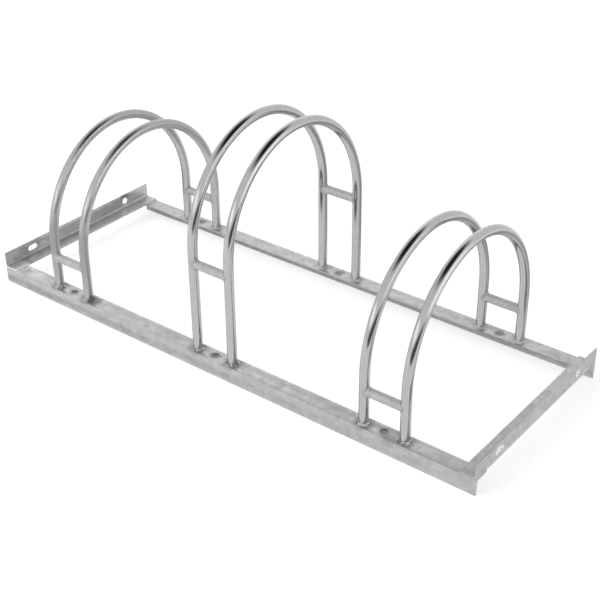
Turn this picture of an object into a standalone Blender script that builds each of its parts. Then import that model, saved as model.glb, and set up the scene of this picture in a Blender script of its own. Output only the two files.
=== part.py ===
"""Bicycle parking stand: a low floor frame of steel angle with three wheel bays, low, high, low.

Two rails run along X and two end angles along Y. Each bay is a pair of bent tube hoops that stand on
both rails, tied to each other by a round rung near the front feet and another near the back feet.
A bicycle wheel rolls in between the two hoops of a pair. Units are metres and +Z is up. The origin
is on the floor, under the middle of the frame, and the front of the stand faces -Y.
"""

import math

import bmesh
import bpy
from mathutils import Matrix, Vector

# Driving dimensions.
BAY_PITCH = 0.350
BAY_COUNT = 3
FRAME_LENGTH = BAY_PITCH * BAY_COUNT
FRAME_DEPTH = 0.385

ANGLE_LEG = 0.030
ANGLE_THICKNESS = 0.003
ANGLE_ROOT_RADIUS = 0.004
ANGLE_TOE_RADIUS = 0.001
ANGLE_HEEL_RADIUS = 0.001

TUBE_DIAMETER = 0.0172
TUBE_WALL = 0.0022
HOOP_SPACING = 0.078
HOOP_INSET = ANGLE_LEG / 2
LOW_HOOP_HEIGHT = 0.278
HIGH_HOOP_HEIGHT = 0.373
ARCH_RISE = 0.188

RUNG_DIAMETER = 0.016
LOW_RUNG_HEIGHT = 0.062
HIGH_RUNG_HEIGHT = 0.168

RAIL_HOLE_DIAMETER = 0.013
END_HOLE_DIAMETER = 0.013
END_SLOT_LENGTH = 0.022
END_SLOT_WIDTH = 0.010
END_HOLE_INSET = 0.066

FOOT_WELD_LEG = 0.0045
RUNG_WELD_LEG = 0.0025
RUNG_WELD_REACH = 0.0045
CORNER_WELD_LEG = 0.003
CORNER_WELD_LENGTH = 0.026
# How far out the crown of a bead stands, as a share of its leg. A flat bead would have 0.5.
WELD_CROWN = 0.6

# Pieces that touch in the real stand keep this gap here.
GAP = 0.0003

TUBE_SIDES = 20
BORE_SIDES = 8
ARCH_STEPS = 24
WELD_SIDES = 16
CUTTER_SIDES = 24
SLOT_END_STEPS = 8
# A cutter reaches this far through an angle's leg, and past a tube's side.
LEG_CUTTER_LENGTH = 4 * ANGLE_THICKNESS
TUBE_CUTTER_LENGTH = 3 * TUBE_DIAMETER

# Places worked out from the dimensions above.
TUBE_RADIUS = TUBE_DIAMETER / 2
RUNG_RADIUS = RUNG_DIAMETER / 2
RAIL_TOP = ANGLE_LEG
FOOT_LEVEL = RAIL_TOP + GAP
FOOT_Y = FRAME_DEPTH / 2 - HOOP_INSET
END_Z = RAIL_TOP + GAP

# Bay name, hoop height over the rails and rung height over the rails, from left to right.
BAYS = (
    ("left_bay", LOW_HOOP_HEIGHT, LOW_RUNG_HEIGHT),
    ("middle_bay", HIGH_HOOP_HEIGHT, HIGH_RUNG_HEIGHT),
    ("right_bay", LOW_HOOP_HEIGHT, LOW_RUNG_HEIGHT),
)

AXIS_X = Vector((1, 0, 0))
AXIS_Y = Vector((0, 1, 0))
AXIS_Z = Vector((0, 0, 1))
UPRIGHT = (0, 0, 0)
ALONG_X = (0, math.pi / 2, 0)


def clear_scene():
    for old in list(bpy.data.objects):
        bpy.data.objects.remove(old, do_unlink=True)


def make_collection(name):
    collection = bpy.data.collections.new(name)
    bpy.context.scene.collection.children.link(collection)
    return collection


def make_material(name, colour, roughness):
    material = bpy.data.materials.new(name)
    material.use_nodes = True
    shader = material.node_tree.nodes["Principled BSDF"]
    shader.inputs["Base Color"].default_value = (*colour, 1)
    shader.inputs["Metallic"].default_value = 1
    shader.inputs["Roughness"].default_value = roughness
    return material


clear_scene()
PARTS = make_collection("bike_parking_stand")
CUTTERS = make_collection("cutters")
GALVANISED_ANGLE = make_material("galvanised_angle", (0.56, 0.57, 0.58), 0.48)
GALVANISED_TUBE = make_material("galvanised_tube", (0.62, 0.63, 0.64), 0.36)
GALVANISED_ROD = make_material("galvanised_rod", (0.60, 0.61, 0.62), 0.40)
GALVANISED_WELD = make_material("galvanised_weld", (0.44, 0.45, 0.46), 0.60)


def add_object(name, data, collection=PARTS, material=None):
    obj = bpy.data.objects.new(name, data)
    collection.objects.link(obj)
    if material and not data.materials:
        data.materials.append(material)
    return obj


def evaluated_mesh(obj, name):
    """The mesh of obj with its curve or modifiers worked out, and its loose caps welded on."""
    bpy.context.view_layer.update()
    graph = bpy.context.evaluated_depsgraph_get()
    mesh = bpy.data.meshes.new_from_object(obj.evaluated_get(graph))
    mesh.name = name
    editing = bmesh.new()
    editing.from_mesh(mesh)
    bmesh.ops.remove_doubles(editing, verts=editing.verts, dist=1e-6)
    bmesh.ops.recalc_face_normals(editing, faces=editing.faces)
    editing.to_mesh(mesh)
    editing.free()
    return mesh


def take_mesh(obj, name):
    """Turns a helper object into a mesh and removes the helper."""
    mesh = evaluated_mesh(obj, name)
    bpy.data.objects.remove(obj, do_unlink=True)
    return mesh


def shade_round(mesh, edge_angle=35):
    mesh.shade_smooth()
    mesh.set_sharp_from_angle(angle=math.radians(edge_angle))


def axes_matrix(location, first, second):
    """Local X along first, local Y along second, local Z along their cross product."""
    third = first.cross(second)
    turn = Matrix((first, second, third)).transposed().to_4x4()
    return Matrix.Translation(location) @ turn


def as_cutter(obj):
    obj.hide_render = True
    obj.display_type = "WIRE"
    return obj


def cut(obj, cutter):
    boolean = obj.modifiers.new("cut " + cutter.name, "BOOLEAN")
    boolean.operation = "DIFFERENCE"
    boolean.solver = "EXACT"
    boolean.object = cutter


def cut_mesh(blank, cutters):
    """The blank less its cutters, as a mesh in world space. Blank and cutters are removed."""
    for cutter in cutters:
        cut(blank, cutter)
    bpy.context.view_layer.update()
    placed = blank.matrix_world.copy()
    mesh = take_mesh(blank, blank.name)
    mesh.transform(placed)
    for cutter in cutters:
        bpy.data.objects.remove(cutter, do_unlink=True)
    shade_round(mesh)
    return mesh


# Outlines and extruded shapes.
def arc(centre, radius, start, end, steps=3):
    """Points round part of a circle, angles in degrees."""
    points = []
    for step in range(steps + 1):
        angle = math.radians(start + (end - start) * step / steps)
        points.append((centre[0] + radius * math.cos(angle), centre[1] + radius * math.sin(angle)))
    return points


def extruded(name, outline, length):
    """A closed flat outline in local XY, filled and extruded along local Z, as a mesh."""
    curve = bpy.data.curves.new(name, "CURVE")
    curve.dimensions = "2D"
    curve.fill_mode = "BOTH"
    curve.extrude = length / 2
    spline = curve.splines.new("POLY")
    spline.points.add(len(outline) - 1)
    for point, (x, y) in zip(spline.points, outline):
        point.co = (x, y, 0, 1)
    spline.use_cyclic_u = True
    return take_mesh(add_object(name + "_outline", curve, CUTTERS), name)


def angle_outline():
    """An equal angle seen from its end, with the heel at the origin and a leg along each axis."""
    leg, thick = ANGLE_LEG, ANGLE_THICKNESS
    heel, root, toe = ANGLE_HEEL_RADIUS, ANGLE_ROOT_RADIUS, ANGLE_TOE_RADIUS
    points = arc((heel, heel), heel, 180, 270, 2)
    points.append((leg, 0))
    points += arc((leg - toe, thick - toe), toe, 0, 90, 2)
    points += arc((thick + root, thick + root), root, 270, 180, 4)
    points += arc((thick - toe, leg - toe), toe, 0, 90, 2)
    points.append((0, leg))
    return points


def slot_cutter(name, length, width, location, along, across):
    """A round-ended slot through a leg of an angle. With length equal to width it is a round hole."""
    half = (length - width) / 2
    outline = arc((half, 0), width / 2, -90, 90, SLOT_END_STEPS)
    outline += arc((-half, 0), width / 2, 90, 270, SLOT_END_STEPS)
    if half == 0:
        sides = 2 * SLOT_END_STEPS
        outline = arc((0, 0), width / 2, 0, 360 - 360 / sides, sides - 1)
    cutter = as_cutter(add_object(name, extruded(name, outline, LEG_CUTTER_LENGTH), CUTTERS))
    cutter.matrix_world = axes_matrix(location, along, across)
    return cutter


# The floor frame.
def make_rail(name, side):
    """side is -1 for the front and 1 for the back. One leg lies on top, the other hangs outside."""
    mesh = extruded(name, angle_outline(), FRAME_LENGTH)
    rail = add_object(name, mesh, material=GALVANISED_ANGLE)
    heel = Vector((0, side * FRAME_DEPTH / 2, RAIL_TOP))
    rail.matrix_world = axes_matrix(heel, -side * AXIS_Y, -AXIS_Z)
    for index, (bay, _, _) in enumerate(BAYS):
        centre = Vector((bay_centre(index), side * FOOT_Y, RAIL_TOP))
        label = f"{name}_{bay}_hole"
        diameter = RAIL_HOLE_DIAMETER
        cut(rail, slot_cutter(label, diameter, diameter, centre, AXIS_X, AXIS_Y))


def make_end_angle(name, side):
    """side is -1 for the left and 1 for the right. One leg lies on the rails, the other stands up."""
    mesh = extruded(name, angle_outline(), FRAME_DEPTH)
    end = add_object(name, mesh, material=GALVANISED_ANGLE)
    heel = Vector((side * FRAME_LENGTH / 2, 0, END_Z))
    end.matrix_world = axes_matrix(heel, -side * AXIS_X, AXIS_Z)
    hole_y = FRAME_DEPTH / 2 - END_HOLE_INSET
    upright_middle = END_Z + (ANGLE_LEG + ANGLE_THICKNESS) / 2
    front = Vector((side * FRAME_LENGTH / 2, -hole_y, upright_middle))
    back = Vector((side * FRAME_LENGTH / 2, hole_y, upright_middle))
    slot = slot_cutter(name + "_slot", END_SLOT_LENGTH, END_SLOT_WIDTH, front, AXIS_Y, AXIS_Z)
    hole = slot_cutter(name + "_hole", END_HOLE_DIAMETER, END_HOLE_DIAMETER, back, AXIS_Y, AXIS_Z)
    cut(end, slot)
    cut(end, hole)


# The hoops.
def bay_centre(index):
    return (index - (BAY_COUNT - 1) / 2) * BAY_PITCH


def hoop_path(apex, overshoot=0.0):
    """Centre line in the YZ plane: a straight leg, an arch, and a straight leg down again."""
    spring = apex - ARCH_RISE
    points = [(-FOOT_Y, -overshoot)]
    for step in range(ARCH_STEPS + 1):
        angle = math.pi * (1 - step / ARCH_STEPS)
        points.append((FOOT_Y * math.cos(angle), spring + ARCH_RISE * math.sin(angle)))
    points.append((FOOT_Y, -overshoot))
    return points


def swept_round(name, path, radius, sides):
    """A round bar along the path, as a mesh with closed ends."""
    curve = bpy.data.curves.new(name, "CURVE")
    curve.dimensions = "3D"
    curve.bevel_depth = radius
    curve.bevel_resolution = (sides - 4) // 2
    curve.use_fill_caps = True
    spline = curve.splines.new("POLY")
    spline.points.add(len(path) - 1)
    for point, (y, z) in zip(spline.points, path):
        point.co = (0, y, z, 1)
    return take_mesh(add_object(name + "_path", curve, CUTTERS), name)


def hoop_mesh(name, height):
    """A bent tube with an open bore. Its feet end square on the rails."""
    apex = height - GAP
    bar = add_object(name, swept_round(name, hoop_path(apex), TUBE_RADIUS, TUBE_SIDES), CUTTERS)
    bore_path = hoop_path(apex, overshoot=TUBE_WALL)
    bore_mesh = swept_round(name + "_bore", bore_path, TUBE_RADIUS - TUBE_WALL, BORE_SIDES)
    bore = as_cutter(add_object(name + "_bore", bore_mesh, CUTTERS))
    return cut_mesh(bar, [bore])


def place_hoop(name, mesh, x):
    hoop = add_object(name, mesh, material=GALVANISED_TUBE)
    hoop.location = (x, 0, FOOT_LEVEL)


# The rungs and their welds, drawn along local X between two upright tubes.
def round_bar(name, radius, length, turn, sides=CUTTER_SIDES):
    bpy.ops.mesh.primitive_cylinder_add(vertices=sides, radius=radius, depth=length, rotation=turn)
    bar = bpy.context.object
    bar.name = name
    for owner in list(bar.users_collection):
        owner.objects.unlink(bar)
    CUTTERS.objects.link(bar)
    return bar


def tube_cutter(x):
    """Stands where a hoop's leg passes, wider than it by the gap."""
    cutter = as_cutter(round_bar("tube_cutter", TUBE_RADIUS + GAP, TUBE_CUTTER_LENGTH, UPRIGHT))
    cutter.location.x = x
    return cutter


def rung_mesh():
    """A round bar whose ends are hollowed to sit against the two tubes."""
    bar = round_bar("rung", RUNG_RADIUS, HOOP_SPACING, ALONG_X, TUBE_SIDES)
    return cut_mesh(bar, [tube_cutter(side * HOOP_SPACING / 2) for side in (-1, 1)])


def rung_weld_mesh():
    """The bead round one end of a rung, on the +X side of a tube that stands at the origin."""
    start = TUBE_RADIUS / 2
    end = TUBE_RADIUS + GAP + RUNG_WELD_REACH
    bpy.ops.mesh.primitive_cone_add(
        vertices=WELD_SIDES,
        radius1=RUNG_RADIUS + RUNG_WELD_LEG + GAP,
        radius2=RUNG_RADIUS + 2 * GAP,
        depth=end - start,
        location=((start + end) / 2, 0, 0),
        rotation=ALONG_X,
    )
    bead = bpy.context.object
    bead.name = "rung_weld"
    bar = as_cutter(round_bar("bar_cutter", RUNG_RADIUS + GAP, HOOP_SPACING, ALONG_X))
    return cut_mesh(bead, [tube_cutter(0), bar])


def foot_weld_mesh():
    """The bead round one foot of a hoop: a low ring with a full, rounded slope."""
    inner = TUBE_RADIUS + GAP
    crown = WELD_CROWN * FOOT_WELD_LEG
    profile = [
        (inner, FOOT_WELD_LEG),
        (inner + crown, crown),
        (inner + FOOT_WELD_LEG, 0),
        (inner, 0),
    ]
    mesh = bpy.data.meshes.new("foot_weld")
    edges = [(i, (i + 1) % len(profile)) for i in range(len(profile))]
    mesh.from_pydata([(x, 0, z) for x, z in profile], edges, [])
    ring = add_object("foot_weld", mesh, CUTTERS)
    screw = ring.modifiers.new("turn", "SCREW")
    screw.steps = WELD_SIDES
    screw.render_steps = WELD_SIDES
    screw.use_merge_vertices = True
    screw.merge_threshold = 0.00001
    mesh = take_mesh(ring, "foot_weld")
    shade_round(mesh)
    return mesh


def place_weld(name, mesh, placement):
    weld = add_object(name, mesh, material=GALVANISED_WELD)
    weld.matrix_world = placement


def make_bay(index, meshes):
    bay, height, rung_height = BAYS[index]
    centre = bay_centre(index)
    for side, side_label in ((-1, "left"), (1, "right")):
        hoop = f"{bay}_{side_label}_hoop"
        x = centre + side * HOOP_SPACING / 2
        place_hoop(hoop, meshes[height], x)
        for row, row_label in ((-1, "front"), (1, "back")):
            foot = Matrix.Translation((x, row * FOOT_Y, FOOT_LEVEL))
            place_weld(f"{hoop}_{row_label}_weld", meshes["foot_weld"], foot)
    for row, row_label in ((-1, "front"), (1, "back")):
        middle = Vector((centre, row * FOOT_Y, RAIL_TOP + rung_height))
        make_rung(f"{bay}_{row_label}_rung", middle, meshes)


def make_rung(name, middle, meshes):
    rung = add_object(name, meshes["rung"], material=GALVANISED_ROD)
    rung.location = middle
    for side, label in ((-1, "left"), (1, "right")):
        tube = middle + side * HOOP_SPACING / 2 * AXIS_X
        facing = Matrix.Rotation(math.pi if side > 0 else 0, 4, "Z")
        place_weld(f"{name}_{label}_weld", meshes["rung_weld"], Matrix.Translation(tube) @ facing)


# The beads that hold the end angles on the rails.
def make_corner_welds():
    leg = CORNER_WELD_LEG
    crown = WELD_CROWN * leg
    outline = [(0, 0), (leg, 0), (crown, crown), (0, leg)]
    bead = extruded("corner_weld", outline, CORNER_WELD_LENGTH)
    inset = FRAME_LENGTH / 2 - ANGLE_LEG - GAP
    for row, row_label in ((-1, "front"), (1, "back")):
        for side, side_label in ((-1, "left"), (1, "right")):
            place = Vector((side * inset, row * FOOT_Y, END_Z))
            name = f"{row_label}_{side_label}_corner_weld"
            place_weld(name, bead, axes_matrix(place, -side * AXIS_X, AXIS_Z))


def build_stand():
    make_rail("front_rail", -1)
    make_rail("back_rail", 1)
    make_end_angle("left_end_angle", -1)
    make_end_angle("right_end_angle", 1)
    meshes = {
        LOW_HOOP_HEIGHT: hoop_mesh("low_hoop", LOW_HOOP_HEIGHT),
        HIGH_HOOP_HEIGHT: hoop_mesh("high_hoop", HIGH_HOOP_HEIGHT),
        "rung": rung_mesh(),
        "rung_weld": rung_weld_mesh(),
        "foot_weld": foot_weld_mesh(),
    }
    for index in range(BAY_COUNT):
        make_bay(index, meshes)
    make_corner_welds()


build_stand()
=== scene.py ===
# %% [markdown]
# # A galvanised stand for parked bicycles
# The real stand is a low frame of steel angle with three pairs of bent tube hoops on it. A front wheel
# rolls in between the two hoops of a pair and rests on two round rungs. Everything is welded, and then
# the whole stand is dipped in zinc.
#
# The solid model is already made and packed. This lesson loads it, rebuilds each piece over its solid
# with rounder bends, softened edges and rippled welds, and gives all of them a zinc finish.

# %% Load the solid model
import math

import bmesh
import bpy
from mathutils import Matrix, Vector, noise


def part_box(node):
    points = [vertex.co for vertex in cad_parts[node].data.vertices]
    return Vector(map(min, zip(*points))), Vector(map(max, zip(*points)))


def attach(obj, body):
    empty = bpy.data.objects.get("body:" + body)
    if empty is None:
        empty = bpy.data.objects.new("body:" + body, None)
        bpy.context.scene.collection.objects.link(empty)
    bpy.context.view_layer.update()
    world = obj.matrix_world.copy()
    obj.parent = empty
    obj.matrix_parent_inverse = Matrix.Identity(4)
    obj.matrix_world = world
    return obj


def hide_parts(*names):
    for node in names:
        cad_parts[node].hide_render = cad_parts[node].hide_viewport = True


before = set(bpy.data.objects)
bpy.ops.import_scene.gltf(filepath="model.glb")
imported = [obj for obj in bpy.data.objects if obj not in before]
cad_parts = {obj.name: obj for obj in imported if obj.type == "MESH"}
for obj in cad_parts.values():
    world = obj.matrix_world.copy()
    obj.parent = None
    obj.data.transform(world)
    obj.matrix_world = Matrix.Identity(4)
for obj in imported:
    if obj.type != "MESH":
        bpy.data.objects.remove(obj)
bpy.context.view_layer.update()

# %% [markdown]
# ## The camera
# The place of a camera can be found from a photograph when the object has straight edges and known
# shapes. Here the long rails, the end angles and the six hoops gave it. A lens of about 73 mm on a
# 36 mm sensor keeps the far rail nearly as long as the near one, as a product photograph does.
# The three angles turn the camera round the stand, up above the floor, and a little about its own line
# of sight. The matrix is built from them, so each number keeps a plain meaning.

# %% Set the camera
CAMERA_PLACE = Vector((1.18358, -1.43365, 1.18033))
CAMERA_ROUND = math.radians(38.4565)
CAMERA_ABOVE = math.radians(31.1965)
CAMERA_TILT = math.radians(-0.6475)
LENS = 72.547
SENSOR = 36


def camera_axes(round_angle, above, tilt):
    """The camera's right, up and backward directions."""
    level = math.cos(above)
    back = Vector((math.sin(round_angle) * level, -math.cos(round_angle) * level, math.sin(above)))
    level_right = Vector((math.cos(round_angle), math.sin(round_angle), 0))
    level_up = back.cross(level_right)
    right = level_right * math.cos(tilt) + level_up * math.sin(tilt)
    return right, back.cross(right), back


def new_object(name, data):
    """An object for a camera, a lamp or a mesh, put into the scene."""
    made = bpy.data.objects.new(name, data)
    bpy.context.scene.collection.objects.link(made)
    return made


def make_camera():
    data = bpy.data.cameras.new("photo_camera")
    data.lens = LENS
    data.sensor_width = SENSOR
    camera = new_object("photo_camera", data)
    turn = Matrix(camera_axes(CAMERA_ROUND, CAMERA_ABOVE, CAMERA_TILT)).transposed()
    camera.matrix_world = Matrix.Translation(CAMERA_PLACE) @ turn.to_4x4()
    return camera


bpy.context.scene.camera = make_camera()
print("camera at", [round(number, 3) for number in CAMERA_PLACE])

# %% [markdown]
# ## One tool for every shape: a skin over rings
# A bent tube, a round bar, a weld bead and a length of angle all have the same build. An outline is
# drawn again and again along a path, and a skin of four-sided faces joins each outline to the next.
# Blender's curve objects can do this as well. Rings made by hand let the bore, the hollowed ends and
# the ripples be part of the same closed skin, and let each point remember where it was on the bar.

# %% Join rings into a closed mesh
def skin(name, rings, looped=False):
    """A mesh over rings of equal length. A looped skin joins its last ring to its first.
    Others get end caps."""
    count = len(rings[0])
    points = [point for ring in rings for point in ring]
    faces = []
    for index in range(len(rings) if looped else len(rings) - 1):
        here = index * count
        there = (index + 1) % len(rings) * count
        for step in range(count):
            beside = (step + 1) % count
            faces.append((here + step, here + beside, there + beside, there + step))
    if not looped:
        last = (len(rings) - 1) * count
        faces.append(tuple(reversed(range(count))))
        faces.append(tuple(last + step for step in range(count)))
    mesh = bpy.data.meshes.new(name)
    mesh.from_pydata(points, [], faces)
    face_outward(mesh)
    return mesh


def face_outward(mesh):
    editing = bmesh.new()
    editing.from_mesh(mesh)
    bmesh.ops.recalc_face_normals(editing, faces=editing.faces)
    editing.to_mesh(mesh)
    editing.free()


# %% [markdown]
# ## Where each point was on the straight bar
# Tube is drawn straight, so its fine scratches run along it and then bend with it. A pattern that
# should follow them needs to know where each point of the mesh was before bending. An attribute named
# bar_place holds that: two numbers across the bar and one along it, in metres. A shader reads it with
# an Attribute node. Each piece starts at its own distance, so no two pieces show the same marks.

# %% Store the bar places
PIECE_OFFSET = 1.37
made_bars = []


def store_bar_places(mesh, places):
    offset = Vector((0, 0, PIECE_OFFSET * len(made_bars)))
    made_bars.append(mesh.name)
    attribute = mesh.attributes.new("bar_place", "FLOAT_VECTOR", "POINT")
    attribute.data.foreach_set("vector", [number for place in places for number in place + offset])


def shade(mesh, sharp_angle):
    mesh.shade_smooth()
    mesh.set_sharp_from_angle(angle=math.radians(sharp_angle))


# %% [markdown]
# ## Putting a piece in place
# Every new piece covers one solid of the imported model. The solid stays for the physics and is hidden
# from the picture, and the new piece rides on the same rigid body.

# %% Place a piece over its solid
def place_piece(node, mesh, material):
    piece = new_object(node + "_zinc", mesh)
    mesh.materials.clear()
    mesh.materials.append(material)
    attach(piece, "root")
    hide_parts(node)
    return piece


# %% [markdown]
# ## Zinc, as a node tree
# Steel dipped in molten zinc comes out pale grey. The zinc freezes into flat crystals, called spangle,
# that differ a little in tone and gloss. On a drawn tube the coat is smoother and follows the fine
# lines of the steel. Over all of it lie soft clouds where the coat has dulled.
#
# Each of these is one texture: Voronoi cells for the crystals, stretched noise for the lines, broad
# noise for the clouds and fine noise for the grain. The same textures change the colour, the roughness
# and the bump, so that what looks dull also reflects dully.

# %% Small helpers for node trees
def new_material(name):
    material = bpy.data.materials.new(name)
    material.use_nodes = True
    return material, material.node_tree


def add_node(tree, kind, inputs=None, **settings):
    node = tree.nodes.new(kind)
    for name, value in settings.items():
        setattr(node, name, value)
    for name, value in (inputs or {}).items():
        if isinstance(value, bpy.types.NodeSocket):
            tree.links.new(value, node.inputs[name])
        else:
            node.inputs[name].default_value = value
    return node


def spread(tree, value, low, high):
    """Turns a texture's 0 to 1 into low to high."""
    node = add_node(tree, "ShaderNodeMapRange", {"Value": value, "To Min": low, "To Max": high})
    return node.outputs["Result"]


def ramp(tree, value, start, stop, top=1.0):
    """0 up to start and top from stop on, with a soft step between them. Start may be the larger number."""
    limits = {"Value": value, "From Min": start, "From Max": stop, "To Max": top}
    return add_node(tree, "ShaderNodeMapRange", limits, interpolation_type="SMOOTHSTEP").outputs["Result"]


def combine(tree, operation, first, *others):
    """The sum, product or other result of two or more values."""
    result = first
    for other in others:
        node = add_node(tree, "ShaderNodeMath", {0: result, 1: other}, operation=operation)
        result = node.outputs["Value"]
    return result


def multiply(tree, *factors):
    """The product. Of marks from 0 to 1 it keeps what lies in all of them."""
    return combine(tree, "MULTIPLY", *factors)


def strongest(tree, *marks):
    return combine(tree, "MAXIMUM", *marks)


def minus(tree, first, second):
    return combine(tree, "SUBTRACT", first, second)


def unsigned(tree, value):
    return combine(tree, "ABSOLUTE", value, 0.0)


def under(tree, value, limit):
    """1 where the value is under the limit, and 0 elsewhere."""
    return combine(tree, "LESS_THAN", value, limit)


# %% The four textures of zinc
LINES_ACROSS = 1500
LINES_ALONG = 9
CLOUD_SCALE = 16
GRAIN_SCALE = 1400


def drawn_lines(tree):
    """Fine lines along the bar, from 0 to 1."""
    places = add_node(tree, "ShaderNodeAttribute", attribute_name="bar_place").outputs["Vector"]
    stretch = {"Vector": places, "Scale": (LINES_ACROSS, LINES_ACROSS, LINES_ALONG)}
    stretched = add_node(tree, "ShaderNodeMapping", stretch).outputs["Vector"]
    lines = {"Vector": stretched, "Scale": 1.0, "Detail": 3.0, "Roughness": 0.6}
    return add_node(tree, "ShaderNodeTexNoise", lines).outputs["Fac"]


def clouds(tree, where, scale):
    inputs = {"Vector": where, "Scale": scale, "Detail": 4.0, "Roughness": 0.55}
    return add_node(tree, "ShaderNodeTexNoise", inputs).outputs["Fac"]


def crystals(tree, where, size):
    """One random number for each crystal of the given size in metres."""
    inputs = {"Vector": where, "Scale": 1 / size, "Randomness": 1.0}
    cells = add_node(tree, "ShaderNodeTexVoronoi", inputs)
    return add_node(tree, "ShaderNodeSeparateColor", {"Color": cells.outputs["Color"]}).outputs["Red"]


# %% [markdown]
# ## Marks by place
# The rest of the zinc's look depends on where it is: painted shade by the feet and round the holes,
# dark and dull marks, and painted highlights that are also glossier. A mark like that is a distance
# turned into a number from 0 to 1. Noise is added to the distance, which frays the edge of the mark.
# All of them read the object's own coordinates, so the marks stay on the steel from whichever side it
# is seen.

# %% Turn distances into marks
HAIR = 0.0003
MARK_FADE = 0.012
MARK_FRAY = 0.009
FRAY_SCALE = 180


def places_of(tree, where):
    """The three coordinates, each as a socket named X, Y or Z."""
    return add_node(tree, "ShaderNodeSeparateXYZ", {"Vector": where}).outputs


def mark_fray(tree, where):
    return spread(tree, clouds(tree, where, FRAY_SCALE), -MARK_FRAY, MARK_FRAY)


def distance(tree, offset_x, offset_y, offset_z):
    offsets = {"X": offset_x, "Y": offset_y, "Z": offset_z}
    apart = add_node(tree, "ShaderNodeCombineXYZ", offsets).outputs["Vector"]
    return add_node(tree, "ShaderNodeVectorMath", {0: apart}, operation="LENGTH").outputs["Value"]


def near(tree, offset_x, offset_y, offset_z, fray, reach, top=1.0, fade=MARK_FADE):
    """top near the point where the offsets are 0, fading to 0 at the given reach."""
    apart = distance(tree, offset_x, offset_y, offset_z)
    return ramp(tree, combine(tree, "ADD", apart, fray), reach, reach - fade, top)


def near_spot(tree, place, spot, fray, reach, top):
    """The same round one spot, given as three numbers."""
    offsets = [minus(tree, place[axis], number) for axis, number in zip("XYZ", spot)]
    return near(tree, *offsets, fray, reach, top)


# %% [markdown]
# ## Painted shade at the feet and the holes
# Round each foot, and in and round each hole, the rails get painted shade: the zinc is painted darker
# there and made duller. These marks repeat from bay to bay. So the position along the rail is wrapped
# into one bay, and both rails and both feet of a pair fall onto one another when the signs are dropped.
# Two distances are then enough: one to the foot and one to the hole. Down the hanging leg the distance
# counts double, because the marks lie mostly on top.

# %% Find the painted shade at the feet and the holes
FOOT_SHADE = (0.44, 0.2)
FOOT_SHADE_REACH = 0.024
HOLE_SHADE = 0.55
HOLE_SHADE_REACH = 0.0125
HOLE_SHADE_FADE = 0.005
DOWN_COUNTS = 2.0

FRONT_RAIL, BACK_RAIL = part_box("front_rail"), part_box("back_rail")
RAIL_TOP = FRONT_RAIL[1].z


def tube_of(hoop):
    """X of the middle of a hoop's tube, and the tube's radius."""
    low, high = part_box(hoop)
    return (low.x + high.x) / 2, (high.x - low.x) / 2


FOOT_X, _ = tube_of("middle_bay_right_hoop")
BAY_PITCH = FOOT_X - tube_of("left_bay_right_hoop")[0]
print("bay pitch and foot, millimetres:", round(1000 * BAY_PITCH, 1), round(1000 * FOOT_X, 1))


# Painted shade round each foot, stronger at the front feet, and in and round each hole
def foot_and_hole_shade(tree, where, place, on_back):
    wrap = {0: place["X"], 1: BAY_PITCH / 2, 2: -BAY_PITCH / 2}
    from_middle = add_node(tree, "ShaderNodeMath", wrap, operation="WRAP").outputs["Value"]
    from_middle = unsigned(tree, from_middle)
    foot_y = -(FRONT_RAIL[0].y + FRONT_RAIL[1].y) / 2
    across = minus(tree, unsigned(tree, place["Y"]), foot_y)
    below = multiply(tree, minus(tree, RAIL_TOP, place["Z"]), DOWN_COUNTS)
    fray = mark_fray(tree, where)
    from_foot = minus(tree, from_middle, FOOT_X)
    foot_shade = near(tree, from_foot, across, below, fray, FOOT_SHADE_REACH)
    foot_shade = multiply(tree, foot_shade, spread(tree, on_back, *FOOT_SHADE))
    hole_shade = near(tree, from_middle, across, below, fray, HOLE_SHADE_REACH, HOLE_SHADE, HOLE_SHADE_FADE)
    return strongest(tree, foot_shade, hole_shade)


# %% [markdown]
# ## A dark band, and painted shade on the back rail
# The hanging legs are darker and duller in a band a little above their lower edges. The band is
# strong at the left end and fades out towards the right. The back rail gets painted shade under its
# toe at the left end and inside its channel, which shows through the holes, and it is darker on its
# toe at the right end.

# %% Find the band and the dark parts of the back rail
ANGLE_THICKNESS = 0.003
BAND_BOTTOM = (0.001, 0.007)
BAND_TOP = (0.020, 0.014)
BAND_FRAY = 0.005
BAND_FRAY_SCALE = 60
BAND_X = (0.60, -0.50)
BAND_DEPTH = 0.42
UNDER_TOE_SHADE = 0.5
UNDER_TOE_SHADE_X = (-0.40, -0.46)
TOE_MARK = 0.7
TOE_X = (0.28, 0.34)
CHANNEL_SHADE = 0.5
CHANNEL_Z = (0.008, 0.014)
CHANNEL_X = (0.48, 0.42)


def low_dark_band(tree, where, place):
    fray = spread(tree, clouds(tree, where, BAND_FRAY_SCALE), -BAND_FRAY, BAND_FRAY)
    height = combine(tree, "ADD", place["Z"], fray)
    over_edge, under_top = ramp(tree, height, *BAND_BOTTOM), ramp(tree, height, *BAND_TOP)
    return multiply(tree, over_edge, under_top, ramp(tree, place["X"], *BAND_X, BAND_DEPTH))


def dark_back_rail(tree, place, on_back):
    """Painted shade under the toe at the left end and inside the channel, and the darker toe at the right
    end.
    """
    under_top = under(tree, place["Z"], RAIL_TOP - HAIR)
    # Painted shade under the toe at the left end
    under_toe_shade = multiply(tree, on_back, under_top, ramp(tree, place["X"], *UNDER_TOE_SHADE_X, UNDER_TOE_SHADE))
    at_toe = under(tree, place["Y"], BACK_RAIL[0].y + ANGLE_THICKNESS / 3)
    toe = multiply(tree, on_back, at_toe, under_top, ramp(tree, place["X"], *TOE_X, TOE_MARK))
    # Painted shade inside the channel, fading out near the right end
    under_leg = under(tree, place["Z"], RAIL_TOP - ANGLE_THICKNESS)
    inside = multiply(tree, under_leg, under(tree, place["Y"], BACK_RAIL[1].y - HAIR))
    channel = multiply(tree, on_back, inside, ramp(tree, place["Z"], *CHANNEL_Z, CHANNEL_SHADE),
                   ramp(tree, place["X"], *CHANNEL_X))
    return strongest(tree, under_toe_shade, toe, channel)
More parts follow.
